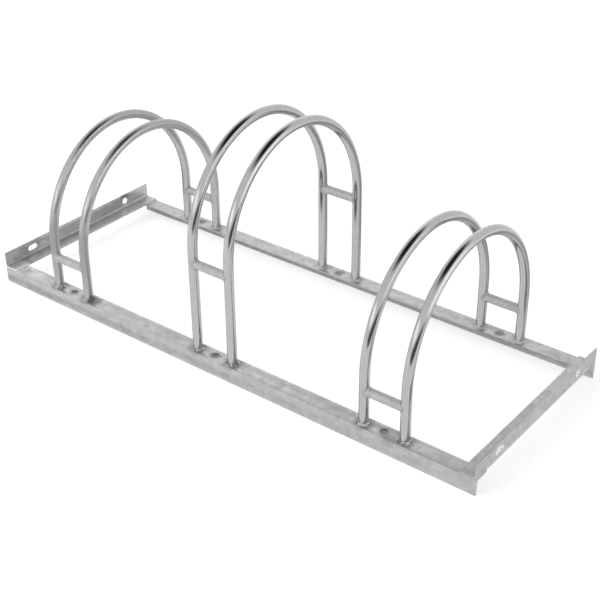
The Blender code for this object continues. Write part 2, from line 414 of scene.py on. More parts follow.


# %% [markdown]
# ## Single spots, and all the marks of a rail
# A larger patch of painted shade lies by a foot in the right bay, and a darker one beside a foot in the
# left bay. The one in the left bay goes on over the weld. Each weld also has dark patches of its own.
# Where marks meet, the strongest one counts.

# %% Put the marks of a rail together
# Two spots of painted shade beside feet, one in the right bay and one in the left bay
RIGHT_BAY_SHADE = (0.368, -0.176, 0.030)
RIGHT_BAY_SHADE_REACH = 0.026
RIGHT_BAY_SHADE_DEPTH = 0.4
LEFT_BAY_SHADE = (-0.297, -0.178, 0.030)
LEFT_BAY_SHADE_REACH = 0.019
LEFT_BAY_SHADE_DEPTH = 0.8
WELD_PATCH_SCALE = 100
WELD_PATCHES = (0.44, 0.60)


def rail_marks(tree, where):
    place = places_of(tree, where)
    on_back = combine(tree, "GREATER_THAN", place["Y"], 0.0)
    fray = mark_fray(tree, where)
    return strongest(tree, low_dark_band(tree, where, place),
                  dark_back_rail(tree, place, on_back),
                  foot_and_hole_shade(tree, where, place, on_back),
                  near_spot(tree, place, RIGHT_BAY_SHADE, fray, RIGHT_BAY_SHADE_REACH, RIGHT_BAY_SHADE_DEPTH),
                  near_spot(tree, place, LEFT_BAY_SHADE, fray, LEFT_BAY_SHADE_REACH, LEFT_BAY_SHADE_DEPTH))


def weld_patches_and_shade(tree, where):
    """Dark patches here and there on a weld, and the painted shade of the spot in the left bay."""
    left_shade = near_spot(tree, places_of(tree, where), LEFT_BAY_SHADE, 0.0, LEFT_BAY_SHADE_REACH, 1.0)
    return strongest(tree, left_shade, ramp(tree, clouds(tree, where, WELD_PATCH_SCALE), *WELD_PATCHES))


# %% [markdown]
# ## Duller tubes in the left bay
# No two tubes take the zinc alike. In the left bay the coat is a little rougher, and it is darker on the
# front legs and behind the tops of the arches.

# %% Find the dull parts of the left bay's tubes
DULL_LEG_TOP = (0.19, 0.15)
DULL_LEG_FOOT = (-0.01, 0.13)
DULL_ARCH_Y = (-0.06, 0.02)
DULL_ARCH_Z = (0.18, 0.24)
DULL_ARCH = 0.5


def left_tube_marks(tree, where):
    place = places_of(tree, where)
    in_front = under(tree, place["Y"], 0.0)
    legs = multiply(tree, in_front, ramp(tree, place["Z"], *DULL_LEG_TOP),
                ramp(tree, place["Z"], *DULL_LEG_FOOT))
    behind_top = multiply(tree, ramp(tree, place["Y"], *DULL_ARCH_Y),
                      ramp(tree, place["Z"], *DULL_ARCH_Z, DULL_ARCH))
    return strongest(tree, legs, behind_top)


# %% [markdown]
# ## A painted highlight on the front rail
# The top of the front rail gets a painted highlight near its left end: it is painted paler there, and
# made glossier.

# %% Find the painted highlight on the front rail
RAIL_HIGHLIGHT_X = (-0.42, -0.50)


def on_top_of(tree, place, top):
    """1 on faces no more than a hair above or below the height top."""
    off = unsigned(tree, minus(tree, place["Z"], top))
    return under(tree, off, HAIR)


# Painted highlight on the top of the front rail near its left end
def highlight_on_rail(tree, where):
    place = places_of(tree, where)
    in_front = under(tree, place["Y"], 0.0)
    return multiply(tree, in_front, on_top_of(tree, place, RAIL_TOP), ramp(tree, place["X"], *RAIL_HIGHLIGHT_X))


# %% [markdown]
# ## Painted highlights and dark marks on the end angles
# The end angles get painted highlights, also glossier, in the front corner of the left end angle, on the
# rims of the bolt holes, and in the root of the right end angle, which shows through those holes. A
# hole's rim is found as the hole itself is drawn: two half circles with a straight piece between them.
# On the left end angle there is a dark mark over the round hole and a dull patch near the front.

# %% Find the holes of an end angle
END_HOLE = 0.013
END_SLOT_LENGTH = 0.022
END_SLOT_WIDTH = 0.010
END_HOLE_INSET = 0.066
RIM = 0.0012


def end_hole_places(node):
    """Depth of the slot, depth of the round hole, and the height of both, on an end angle."""
    low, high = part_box(node)
    return low.y + END_HOLE_INSET, high.y - END_HOLE_INSET, (low.z + ANGLE_THICKNESS + high.z) / 2


def hole_rim(tree, place, y, z, length, width):
    """1 inside a long or round hole of an end angle and on its rim."""
    past = unsigned(tree, minus(tree, place["Y"], y))
    past = strongest(tree, minus(tree, past, (length - width) / 2), 0.0)
    apart = distance(tree, past, minus(tree, place["Z"], z), 0.0)
    return under(tree, apart, width / 2 + RIM)


SLOT_Y, HOLE_Y, HOLE_Z = end_hole_places("right_end_angle")
print("slot, hole and their height, millimetres:", [round(1000 * at, 1) for at in (SLOT_Y, HOLE_Y, HOLE_Z)])

# %% Find the painted highlights and the dark marks on an end angle
CORNER_HIGHLIGHT_Y = (-0.154, -0.168)
ROOT_HIGHLIGHT_X = (0.506, 0.510)
ROOT_HIGHLIGHT_Y = (-0.165, -0.150)
OVER_HOLE_RISE = 0.007
OVER_HOLE_REACH = 0.016
PATCH_PLACE = (-0.5235, -0.155, 0.050)
PATCH_REACH = 0.052
PATCH_DEPTH = 0.3


# Painted highlights: the left end's front corner, the right end's root and the rims of the holes
def highlight_on_end(tree, where):
    place = places_of(tree, where)
    flat_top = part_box("right_end_angle")[0].z + ANGLE_THICKNESS
    on_left = under(tree, place["X"], 0.0)
    on_flat = under(tree, place["Z"], flat_top + HAIR)
    corner = multiply(tree, on_left, on_flat, ramp(tree, place["Y"], *CORNER_HIGHLIGHT_Y))
    root = multiply(tree, on_top_of(tree, place, flat_top), ramp(tree, place["X"], *ROOT_HIGHLIGHT_X),
                ramp(tree, place["Y"], *ROOT_HIGHLIGHT_Y))
    return strongest(tree, corner, root,
                  hole_rim(tree, place, SLOT_Y, HOLE_Z, END_SLOT_LENGTH, END_SLOT_WIDTH),
                  hole_rim(tree, place, HOLE_Y, HOLE_Z, END_HOLE, END_HOLE))


def end_marks(tree, where):
    place = places_of(tree, where)
    across = minus(tree, place["Y"], HOLE_Y)
    above = minus(tree, place["Z"], HOLE_Z + OVER_HOLE_RISE)
    fray = mark_fray(tree, where)
    on_left = under(tree, place["X"], 0.0)
    over_hole = multiply(tree, on_left, near(tree, across, above, 0.0, fray, OVER_HOLE_REACH))
    return strongest(tree, over_hole, near_spot(tree, place, PATCH_PLACE, fray, PATCH_REACH, PATCH_DEPTH))


# %% [markdown]
# ## One finish for each kind of piece
# All the finishes share one node tree and differ in their numbers. The tube was smooth before it was
# dipped and stays glossy. Rolled angle comes out duller and more mottled, and welds come out roughest.
# Each texture changes the tone and, the other way round, the roughness, and the grain and the lines
# also raise the surface a little through a Bump node.

# %% Build a zinc finish from its numbers
CLOUD_ROUGHNESS = (0.8, 1.25)
ROUGHNESS_SHARE = 2
HIGHLIGHT_ROUGHNESS = 0.6
GRAIN_HEIGHT = 0.6
LINE_HEIGHT = 6
BUMP_DISTANCE = 0.0002


def zinc_finish(name, tone, roughness, crystal_size, crystal_contrast, line_contrast, cloud_contrast,
                relief, marks=None, mark_depth=0.0, thick=None, highlight_gain=1.0, metallic=1.0):
    """marks finds the dull marks and painted shade, and mark_depth says how dark they are. thick finds the
    painted highlights, which are also glossier.
    """
    material, tree = new_material(name)
    shader = tree.nodes["Principled BSDF"]
    where = add_node(tree, "ShaderNodeTexCoord").outputs["Object"]
    line, cloud = drawn_lines(tree), clouds(tree, where, CLOUD_SCALE)
    crystal, grain = crystals(tree, where, crystal_size), clouds(tree, where, GRAIN_SCALE)

    shade_of = spread(tree, cloud, 1 - cloud_contrast, 1 + cloud_contrast)
    rough = spread(tree, cloud, *[share * roughness for share in CLOUD_ROUGHNESS])
    for texture, contrast in ((crystal, crystal_contrast), (line, line_contrast)):
        duller = ROUGHNESS_SHARE * contrast
        shade_of = multiply(tree, shade_of, spread(tree, texture, 1 - contrast, 1 + contrast))
        rough = multiply(tree, rough, spread(tree, texture, 1 + duller, 1 - duller))
    # marks holds dull marks and painted shade, painted darker and made duller by mark_depth
    if marks:
        marked = marks(tree, where)
        shade_of = multiply(tree, shade_of, spread(tree, marked, 1, 1 - mark_depth))
        rough = multiply(tree, rough, spread(tree, marked, 1, 1 + mark_depth))
    # thick finds painted highlights, painted paler by highlight_gain and made glossier
    if thick:
        lit_and_glossy = thick(tree, where)
        shade_of = multiply(tree, shade_of, spread(tree, lit_and_glossy, 1, highlight_gain))
        rough = multiply(tree, rough, spread(tree, lit_and_glossy, 1, HIGHLIGHT_ROUGHNESS))
    pale = add_node(tree, "ShaderNodeMix", {"Factor": 1.0, "A": (*tone, 1), "B": shade_of},
                    data_type="RGBA", blend_type="MULTIPLY")
    tree.links.new(pale.outputs["Result"], shader.inputs["Base Color"])
    tree.links.new(rough, shader.inputs["Roughness"])

    line_height = spread(tree, line, 0, line_contrast * LINE_HEIGHT)
    height = combine(tree, "ADD", spread(tree, grain, 0, GRAIN_HEIGHT), line_height)
    raised = {"Height": height, "Strength": relief, "Distance": BUMP_DISTANCE}
    bump = add_node(tree, "ShaderNodeBump", raised)
    tree.links.new(bump.outputs["Normal"], shader.inputs["Normal"])
    shader.inputs["Metallic"].default_value = metallic
    return material


# %% Mix the finishes
# In order: tone, roughness, size of the crystals, contrast of crystals, lines and clouds, and relief
RAIL_ZINC = zinc_finish("zinc_on_rail", (0.525, 0.525, 0.53), 0.30, 0.009, 0.09, 0.03, 0.14, 0.25,
                        marks=rail_marks, mark_depth=0.64, thick=highlight_on_rail, highlight_gain=1.8,
                        metallic=0.6)
END_ZINC = zinc_finish("zinc_on_end", (0.51, 0.51, 0.515), 0.38, 0.009, 0.09, 0.03, 0.14, 0.25,
                       marks=end_marks, mark_depth=0.5, thick=highlight_on_end, highlight_gain=1.85,
                       metallic=0.65)
TUBE_ZINC = zinc_finish("zinc_on_tube", (0.45, 0.45, 0.455), 0.12, 0.006, 0.03, 0.05, 0.05, 0.06)
LEFT_TUBE_ZINC = zinc_finish("zinc_on_left_tube", (0.45, 0.45, 0.455), 0.25, 0.006, 0.03, 0.05, 0.05,
                             0.06, marks=left_tube_marks, mark_depth=0.28)
ROD_ZINC = zinc_finish("zinc_on_rod", (0.56, 0.56, 0.565), 0.55, 0.006, 0.05, 0.05, 0.08, 0.2,
                       metallic=0.5)
WELD_ZINC = zinc_finish("zinc_on_weld", (0.42, 0.42, 0.425), 0.42, 0.003, 0.10, 0.0, 0.15, 0.4)
FOOT_WELD_ZINC = zinc_finish("zinc_on_foot_weld", (0.45, 0.45, 0.455), 0.38, 0.003, 0.10, 0.0, 0.15,
                             0.5, marks=weld_patches_and_shade, mark_depth=0.6)
BACK_WELD_ZINC = zinc_finish("zinc_on_back_weld", (0.58, 0.58, 0.585), 0.42, 0.003, 0.10, 0.0, 0.15,
                             0.5, marks=weld_patches_and_shade, mark_depth=0.2, metallic=0.4)
CORNER_WELD_ZINC = zinc_finish("zinc_on_corner_weld", (0.56, 0.56, 0.565), 0.38, 0.003, 0.10, 0.0,
                               0.15, 0.4)
FOOT_WELD_FINISHES = {"front": FOOT_WELD_ZINC, "back": BACK_WELD_ZINC}
TUBE_FINISHES = {"left_bay": LEFT_TUBE_ZINC, "middle_bay": TUBE_ZINC, "right_bay": TUBE_ZINC}
print("zinc finishes:", [finish.name for finish in bpy.data.materials if finish.name.startswith("zinc_on")])

# %% [markdown]
# ## The hoops
# Each hoop is one length of steel tube, bent to an arch with two straight legs. The photograph shows
# arches a little taller than half circles. The path is a straight leg, half an ellipse and the second
# leg. Rings are set square to the path. The outer rings run from foot to foot and the inner rings run
# back again, so the tube has a true wall and bore and its skin is closed.
#
# The solid model has twenty flat sides. Here the tube gets forty-eight, and the arch many more steps,
# because a glossy tube shows every flat as a broken reflection.

# %% Follow a hoop's centre line
ARCH_RISE = 0.188
TUBE_WALL = 0.0022
TUBE_SIDES = 48
ARCH_STEPS = 120
LEG_STEPS = 24


def hoop_centre_line(node):
    """Points and tangents of a hoop, from the front foot to the back foot."""
    low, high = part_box(node)
    x, radius = tube_of(node)
    half_span = (high.y - low.y) / 2 - radius
    spring = high.z - radius - ARCH_RISE
    leg_heights = [low.z + (spring - low.z) * step / LEG_STEPS for step in range(LEG_STEPS)]
    line = [(Vector((x, -half_span, height)), Vector((0, 0, 1))) for height in leg_heights]
    for step in range(ARCH_STEPS + 1):
        angle = math.pi * step / ARCH_STEPS
        point = Vector((x, -half_span * math.cos(angle), spring + ARCH_RISE * math.sin(angle)))
        tangent = Vector((0, half_span * math.sin(angle), ARCH_RISE * math.cos(angle))).normalized()
        line.append((point, tangent))
    return line + [(Vector((x, half_span, height)), Vector((0, 0, -1))) for height in reversed(leg_heights)]


low_line = [point for point, _ in hoop_centre_line("left_bay_left_hoop")]
low_length = sum((there - here).length for here, there in zip(low_line, low_line[1:]))
print("tube in a low hoop, millimetres:", round(1000 * low_length))


# %% Wrap rings round the centre line
def full_turn(steps):
    """Equal steps round a circle, in radians."""
    return [2 * math.pi * step / steps for step in range(steps)]


def tube_rings(line, radius, sides):
    """Rings square to the line, and the place of each of their points on the straight bar."""
    side = Vector((1, 0, 0))
    rings, places, along, before = [], [], 0, line[0][0]
    for centre, tangent in line:
        along += (centre - before).length
        before = centre
        across = tangent.cross(side)
        turns = full_turn(sides)
        outward = [math.cos(turn) * side + math.sin(turn) * across for turn in turns]
        rings.append([centre + radius * direction for direction in outward])
        places += [Vector((radius * math.cos(turn), radius * math.sin(turn), along)) for turn in turns]
    return rings, places


def make_hoop(node, material):
    line, (_, radius) = hoop_centre_line(node), tube_of(node)
    outer, outer_places = tube_rings(line, radius, TUBE_SIDES)
    inner, inner_places = tube_rings(line[::-1], radius - TUBE_WALL, TUBE_SIDES)
    inner = [[ring[-step % TUBE_SIDES] for step in range(TUBE_SIDES)] for ring in inner]
    mesh = skin(node + "_zinc", outer + inner, looped=True)
    store_bar_places(mesh, outer_places + inner_places)
    shade(mesh, sharp_angle=50)
    return place_piece(node, mesh, material)


# %% Make the six hoops
BAYS = ("left_bay", "middle_bay", "right_bay")
SIDES = ("left", "right")
ROWS = ("front", "back")

for bay in BAYS:
    for side in SIDES:
        node = f"{bay}_{side}_hoop"
        hoop = make_hoop(node, TUBE_FINISHES[bay])

# %% [markdown]
# ## The rungs
# A short round bar joins the two hoops of a pair near each row of feet. The wheel sits on them. Each
# end is hollowed to the tube's curve, so the last rings are pushed along the bar until they touch the
# tube: the further a point is from the bar's middle plane, the further it can reach.

# %% Make a rung with hollowed ends
RUNG_SIDES = 48
RUNG_SHARES = (0, 0.02, 0.05, 0.1, 0.2, 0.35, 0.5, 0.65, 0.8, 0.9, 0.95, 0.98, 1)
SUNK = 0.0004


def reach_to_tube(tube_x, tube_radius, across, side):
    """X where a line at this distance across the tube meets it, a little under its skin."""
    return tube_x - side * math.sqrt(max((tube_radius - SUNK) ** 2 - across ** 2, 0))


def make_rung(bay, row):
    node = f"{bay}_{row}_rung"
    low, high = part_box(node)
    centre, radius = (low + high) / 2, (high.z - low.z) / 2
    (left_x, tube_radius), (right_x, _) = [tube_of(f"{bay}_{side}_hoop") for side in SIDES]
    rings, places = [], []
    for share in RUNG_SHARES:
        ring = []
        for turn in full_turn(RUNG_SIDES):
            y, z = radius * math.cos(turn), radius * math.sin(turn)
            start = reach_to_tube(left_x, tube_radius, y, -1)
            stop = reach_to_tube(right_x, tube_radius, y, 1)
            ring.append(Vector((start + (stop - start) * share, centre.y + y, centre.z + z)))
            places.append(Vector((y, z, ring[-1].x)))
        rings.append(ring)
    mesh = skin(node + "_zinc", rings)
    store_bar_places(mesh, places)
    shade(mesh, sharp_angle=40)
    return place_piece(node, mesh, ROD_ZINC)


for bay in BAYS:
    for row in ROWS:
        make_rung(bay, row)
print("rungs made:", len(BAYS) * len(ROWS))

# %% [markdown]
# ## The angle
# Rolled steel angle has two legs, a round fillet in the root between them, and slightly rounded toes
# and heel. The outline is drawn once, in the plane of the cut end, and skinned along the length. Round
# and long holes are cut with a Boolean modifier, and a Bevel modifier softens their rims and the sawn
# ends by not quite half a millimetre, which is about what the zinc coat does to them.

# %% Draw the angle's outline
ROOT_RADIUS = 0.004
TOE_RADIUS = 0.001
HEEL_RADIUS = 0.001


def round_corner(centre, radius, start, stop, steps):
    turns = [math.radians(start + (stop - start) * step / steps) for step in range(steps + 1)]
    return [(centre[0] + radius * math.cos(turn), centre[1] + radius * math.sin(turn)) for turn in turns]


def angle_outline(leg):
    """The cut end of the angle, heel at the origin, one leg along each axis."""
    thick, toe, root = ANGLE_THICKNESS, TOE_RADIUS, ANGLE_THICKNESS + ROOT_RADIUS
    outline = round_corner((HEEL_RADIUS, HEEL_RADIUS), HEEL_RADIUS, 180, 270, 5)
    outline.append((leg, 0))
    outline += round_corner((leg - toe, thick - toe), toe, 0, 90, 5)
    outline += round_corner((root, root), ROOT_RADIUS, 270, 180, 10)
    outline += round_corner((thick - toe, leg - toe), toe, 0, 90, 5)
    outline.append((0, leg))
    return outline


print("points in the angle's outline:", len(angle_outline(RAIL_TOP)))


# %% Cut holes and soften edges
HOLE_SIDES = 48
EDGE_SOFTENING = 0.0004


def hole_cutter(centre, along, through, length, width):
    """A round-ended slot. With length equal to width it is a round hole."""
    across = through.cross(along)
    half = (length - width) / 2
    outline = []
    for step in range(HOLE_SIDES):
        turn = 2 * math.pi * (step + 0.5) / HOLE_SIDES
        shift = half if math.cos(turn) > 0 else -half
        sideways = width / 2 * math.sin(turn) * across
        outline.append(centre + (shift + width / 2 * math.cos(turn)) * along + sideways)
    reach = 2 * ANGLE_THICKNESS * through
    mesh = skin("cutter", [[point - reach for point in outline], [point + reach for point in outline]])
    return new_object("cutter", mesh)


def cut_and_soften(mesh, cutters):
    """The mesh less its cutters, with softened edges. The cutters are removed."""
    blank = new_object("blank", mesh)
    for cutter in cutters:
        boolean = blank.modifiers.new("cut", "BOOLEAN")
        boolean.operation, boolean.solver, boolean.object = "DIFFERENCE", "EXACT", cutter
    bevel = blank.modifiers.new("soften", "BEVEL")
    bevel.width, bevel.segments, bevel.limit_method = EDGE_SOFTENING, 3, "ANGLE"
    bevel.angle_limit = math.radians(50)
    bpy.context.view_layer.update()
    finished = blank.evaluated_get(bpy.context.evaluated_depsgraph_get())
    softened = bpy.data.meshes.new_from_object(finished)
    for helper in [blank, *cutters]:
        bpy.data.objects.remove(helper, do_unlink=True)
    softened.name = mesh.name
    return softened


# %% Build a length of angle
def make_angle(node, material, heel, first_leg, second_leg, along, length, cutters):
    """heel is the middle of the outer corner. The legs' directions and the length's are unit vectors."""
    low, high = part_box(node)
    outline = angle_outline(high.z - low.z)
    rings = []
    for end in (-0.5, 0.5):
        start = heel + along * length * end
        rings.append([start + first * first_leg + second * second_leg for first, second in outline])
    mesh = cut_and_soften(skin(node + "_zinc", rings), cutters)
    across = [first_leg, second_leg, along]
    store_bar_places(mesh, [Vector([point.co.dot(axis) for axis in across]) for point in mesh.vertices])
    shade(mesh, sharp_angle=30)
    return place_piece(node, mesh, material)


# %% [markdown]
# ## The two rails
# The rails lie along the stand with one leg flat on top, where the hoops stand, and the other hanging
# down outside to the floor. Between the two feet of each pair is a hole for a ground bolt.

# %% Make the rails
RAIL_HOLE = 0.013
X_AXIS, Y_AXIS, Z_AXIS = Vector((1, 0, 0)), Vector((0, 1, 0)), Vector((0, 0, 1))


def bay_middle(bay):
    left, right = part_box(f"{bay}_left_hoop"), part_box(f"{bay}_right_hoop")
    return (left[0].x + right[1].x) / 2


def make_rail(node, outside):
    """outside is -1 for the front rail and 1 for the back rail."""
    low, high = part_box(node)
    hole_y = (low.y + high.y) / 2
    cutters = []
    for bay in BAYS:
        centre = Vector((bay_middle(bay), hole_y, high.z))
        cutters.append(hole_cutter(centre, X_AXIS, Z_AXIS, RAIL_HOLE, RAIL_HOLE))
    heel = Vector((0, high.y if outside > 0 else low.y, high.z))
    return make_angle(node, RAIL_ZINC, heel, -outside * Y_AXIS, -Z_AXIS, X_AXIS, high.x - low.x, cutters)


make_rail("front_rail", -1)
make_rail("back_rail", 1)
print("holes in each rail, millimetres:", [round(1000 * bay_middle(bay)) for bay in BAYS])

# %% [markdown]
# ## The two end angles
# An end angle lies across the rails with its other leg standing up outside. A slot near the front and
# a round hole near the back take the bolts that join one stand to the next. The slot lets the second
# bolt find its place when the first is already in.

# %% Make the end angles
def make_end_angle(node, outside):
    """outside is -1 for the left end and 1 for the right end."""
    low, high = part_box(node)
    x = high.x if outside > 0 else low.x
    slot_y, hole_y, middle_z = end_hole_places(node)
    slot = hole_cutter(Vector((x, slot_y, middle_z)), Y_AXIS, X_AXIS, END_SLOT_LENGTH, END_SLOT_WIDTH)
    hole = hole_cutter(Vector((x, hole_y, middle_z)), Y_AXIS, X_AXIS, END_HOLE, END_HOLE)
    heel = Vector((x, 0, low.z))
    return make_angle(node, END_ZINC, heel, -outside * X_AXIS, Z_AXIS, Y_AXIS, high.y - low.y, [slot, hole])


make_end_angle("left_end_angle", -1)
make_end_angle("right_end_angle", 1)
print("bolts at each end, millimetres apart:", round(1000 * (HOLE_Y - SLOT_Y)))

# %% [markdown]
# ## Weld beads
# A weld is laid as a row of small overlapping pools in the corner between two pieces. Its cut end is a
# triangle with a slightly hollow face, its surface is rippled across its length, and no bead is quite
# even. Each ring here starts at a point inside the corner and swings from one surface to the other.
# The ripples bow forward in the middle, as the pools do.

# %% Lay a bead in a corner
BEAD_STEPS = 8
BEAD_HOLLOW = 2.3
RIPPLE_LENGTH = 0.0017
RIPPLE_DEPTH = 0.10
RIPPLE_BOW = 0.4
BEAD_UNEVENNESS = 0.30
UNEVEN_SCALE = 130
SEED_SPACING = 7.3
BEAD_TAPER = (0.3, 8)


def bead_size(leg, corner, ripple_phase, bow, seed):
    """The bead's reach from the corner, with ripples and slow unevenness."""
    ripple = abs(math.sin(math.pi * (ripple_phase + RIPPLE_BOW * bow)))
    uneven = noise.noise(corner * UNEVEN_SCALE + Vector((seed * SEED_SPACING, 0, 0)))
    return leg * (1 + RIPPLE_DEPTH * (ripple - 1) + BEAD_UNEVENNESS * uneven)


def bead_mesh(name, seam, firsts, seconds, leg, seed, looped):
    """firsts and seconds point away from the seam, one along each of the two surfaces."""
    count, along, rings, places = len(seam), 0, [], []
    length = sum((seam[index] - seam[index - 1]).length for index in range(0 if looped else 1, count))
    ripples = round(length / RIPPLE_LENGTH)
    for index, (corner, first, second) in enumerate(zip(seam, firsts, seconds)):
        along += (corner - seam[index - 1]).length if index else 0
        inside = corner - SUNK * (first + second)
        from_end = min(index, count - 1 - index) / count
        taper = 1 if looped else min(1, BEAD_TAPER[0] + BEAD_TAPER[1] * from_end)
        rings.append([inside])
        places.append(Vector((0, 0, along)))
        for step in range(BEAD_STEPS + 1):
            turn = math.pi / 2 * step / BEAD_STEPS
            phase = index * ripples / count
            size = taper * bead_size(leg, corner, phase, math.sin(2 * turn), seed) + SUNK
            reach = math.cos(turn) ** BEAD_HOLLOW * first + math.sin(turn) ** BEAD_HOLLOW * second
            rings[-1].append(inside + size * reach)
            places.append(Vector((size * math.cos(turn), size * math.sin(turn), along)))
    mesh = skin(name, rings, looped)
    store_bar_places(mesh, places)
    shade(mesh, sharp_angle=70)
    return mesh


# %% [markdown]
# ## The welds round the feet
# Each foot stands on a rail and is welded all the way round, so the seam is a circle. The bead's skin runs
# on from its last ring to its first, and a whole number of ripples makes them meet.

# %% Weld the feet
FOOT_BEAD = 0.0046
FOOT_BEAD_STEPS = 160


def weld_foot(hoop, row, seed):
    node = f"{hoop}_{row}_weld"
    low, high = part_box(node)
    _, radius = tube_of(hoop)
    centre = Vector(((low.x + high.x) / 2, (low.y + high.y) / 2, RAIL_TOP))
    outward = [Vector((math.cos(turn), math.sin(turn), 0)) for turn in full_turn(FOOT_BEAD_STEPS)]
    seam = [centre + radius * direction for direction in outward]
    upward = [Z_AXIS] * FOOT_BEAD_STEPS
    mesh = bead_mesh(node + "_zinc", seam, outward, upward, FOOT_BEAD, seed, looped=True)
    return place_piece(node, mesh, FOOT_WELD_FINISHES[row])


hoops = [f"{bay}_{side}_hoop" for bay in BAYS for side in SIDES]
for number, hoop in enumerate(hoops):
    for row_number, row in enumerate(ROWS):
        weld_foot(hoop, row, 2 * number + row_number)
print("foot welds:", 2 * len(hoops))

# %% [markdown]
# ## The welds at the rungs
# The seam between a bar and a tube of nearly the same size is saddle shaped. It is the line where the
# bar's surface meets the tube's, found with Pythagoras at each angle round the bar.

# %% Weld the rungs
RUNG_BEAD = 0.0028
RUNG_BEAD_STEPS = 120
FIRST_RUNG_SEED = 20


def weld_rung(bay, row, side_name, seed):
    rung, node = f"{bay}_{row}_rung", f"{bay}_{row}_rung_{side_name}_weld"
    low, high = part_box(rung)
    centre, radius = (low + high) / 2, (high.z - low.z) / 2
    tube_x, tube_radius = tube_of(f"{bay}_{side_name}_hoop")
    to_middle = X_AXIS if side_name == "left" else -X_AXIS
    seam, along_tube = [], []
    for turn in full_turn(RUNG_BEAD_STEPS):
        y, z = radius * math.cos(turn), radius * math.sin(turn)
        inward = math.sqrt(tube_radius ** 2 - y ** 2)
        seam.append(Vector((tube_x, centre.y + y, centre.z + z)) + inward * to_middle)
        bar_out = Vector((0, math.cos(turn), math.sin(turn)))
        tube_out = (inward * to_middle + y * Y_AXIS).normalized()
        along_tube.append((bar_out - bar_out.dot(tube_out) * tube_out).normalized())
    along_bar = [to_middle] * RUNG_BEAD_STEPS
    mesh = bead_mesh(node + "_zinc", seam, along_bar, along_tube, RUNG_BEAD, seed, looped=True)
    return place_piece(node, mesh, WELD_ZINC)


for bay_number, bay in enumerate(BAYS):
    for row_number, row in enumerate(ROWS):
        for side_number, side_name in enumerate(SIDES):
            seed = FIRST_RUNG_SEED + 4 * bay_number + 2 * row_number + side_number
            weld_rung(bay, row, side_name, seed)
print("rung welds:", 4 * len(BAYS))

# %% [markdown]
# ## The welds at the corners
# A short straight bead holds each end angle on each rail, along the toe of its flat leg. It isn't looped,
# so it starts and stops thin, as a real one does.

# %% Weld the corners
CORNER_BEAD = 0.0022
CORNER_BEAD_STEPS = 75
FIRST_CORNER_SEED = 40


def weld_corner(row, side_name, seed):
    node = f"{row}_{side_name}_corner_weld"
    low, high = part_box(node)
    inward = X_AXIS if side_name == "left" else -X_AXIS
    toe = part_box(f"{side_name}_end_angle")[1 if side_name == "left" else 0].x
    seam = []
    for step in range(CORNER_BEAD_STEPS):
        y = low.y + (high.y - low.y) * step / (CORNER_BEAD_STEPS - 1)
        seam.append(Vector((toe, y, RAIL_TOP)))
    firsts, seconds = [inward] * CORNER_BEAD_STEPS, [Z_AXIS] * CORNER_BEAD_STEPS
    mesh = bead_mesh(node + "_zinc", seam, firsts, seconds, CORNER_BEAD, seed, looped=False)
    return place_piece(node, mesh, CORNER_WELD_ZINC)


for row_number, row in enumerate(ROWS):
    for side_number, side_name in enumerate(SIDES):
        weld_corner(row, side_name, FIRST_CORNER_SEED + 2 * row_number + side_number)
print("corner welds:", len(ROWS) * len(SIDES))

# %% [markdown]
# ## The shadow along the rails
# Little light gets to the floor behind a rail's hanging leg, but with one soft lamp and a white room the
# shadow there comes out faint. So it is drawn into the floor's colour as a strip behind each leg, hard at
# the leg and fading away from it. A strip under the back rail is for reflections alone. It keeps the
# rail's channel dark, which shows through the holes.

# %% Find the shadow strips
SHADE_WIDTH = 0.033
SHADE_FADES = (0.010, 0.026)
SHADE_INSET = 0.055
SHADE_END_FADE = 0.09
UNDER_RAIL_SHADE = 0.3


def in_strip(tree, low_y, high_y, fade):
    """1 on a strip of floor along the rails. It starts at low_y and fades out at high_y and at its ends."""
    place = places_of(tree, add_node(tree, "ShaderNodeTexCoord").outputs["Object"])
    end = FRONT_RAIL[1].x - SHADE_INSET
    along = ramp(tree, unsigned(tree, place["X"]), end, end - SHADE_END_FADE)
    past_leg = combine(tree, "GREATER_THAN", place["Y"], low_y)
    return multiply(tree, along, past_leg, ramp(tree, place["Y"], high_y, high_y - fade))


def rail_shade(tree):
    """The shadow on the floor behind each rail. Reflections also show the one under the back rail."""
    front_leg, back_leg = FRONT_RAIL[0].y + ANGLE_THICKNESS / 2, BACK_RAIL[1].y - ANGLE_THICKNESS / 2
    behind_front = in_strip(tree, front_leg, FRONT_RAIL[1].y + SHADE_WIDTH, SHADE_FADES[0])
    behind_back = in_strip(tree, back_leg, BACK_RAIL[1].y + SHADE_WIDTH, SHADE_FADES[1])
    glossy_ray = add_node(tree, "ShaderNodeLightPath").outputs["Is Glossy Ray"]
    under_back = multiply(tree, glossy_ray, in_strip(tree, BACK_RAIL[0].y, BACK_RAIL[1].y, SHADE_FADES[0]))
    under_back = multiply(tree, under_back, UNDER_RAIL_SHADE)
    return strongest(tree, behind_front, behind_back, under_back)


# %% [markdown]
# ## The floor
# The floor is one big pale plane. A floor that is only lit comes out grey beside a white page. More light
# would wash out the metal, so the floor glows a little instead, and only for what is seen directly: for
# the camera, in reflections and through glass. The glow lights nothing, and the shadows stay on it.

# %% Make the floor
FLOOR_HALF = 12
FLOOR_TONE = 0.82
FLOOR_GLOW = 0.6
FLOOR_ROUGHNESS = 0.9
SHADE_TONE = 0.52


def seen_directly(tree):
    """1 for the rays of the camera, of reflections and through glass, 0 for the rays that carry light."""
    rays = add_node(tree, "ShaderNodeLightPath").outputs
    return strongest(tree, rays["Is Camera Ray"], rays["Is Glossy Ray"], rays["Is Transmission Ray"])


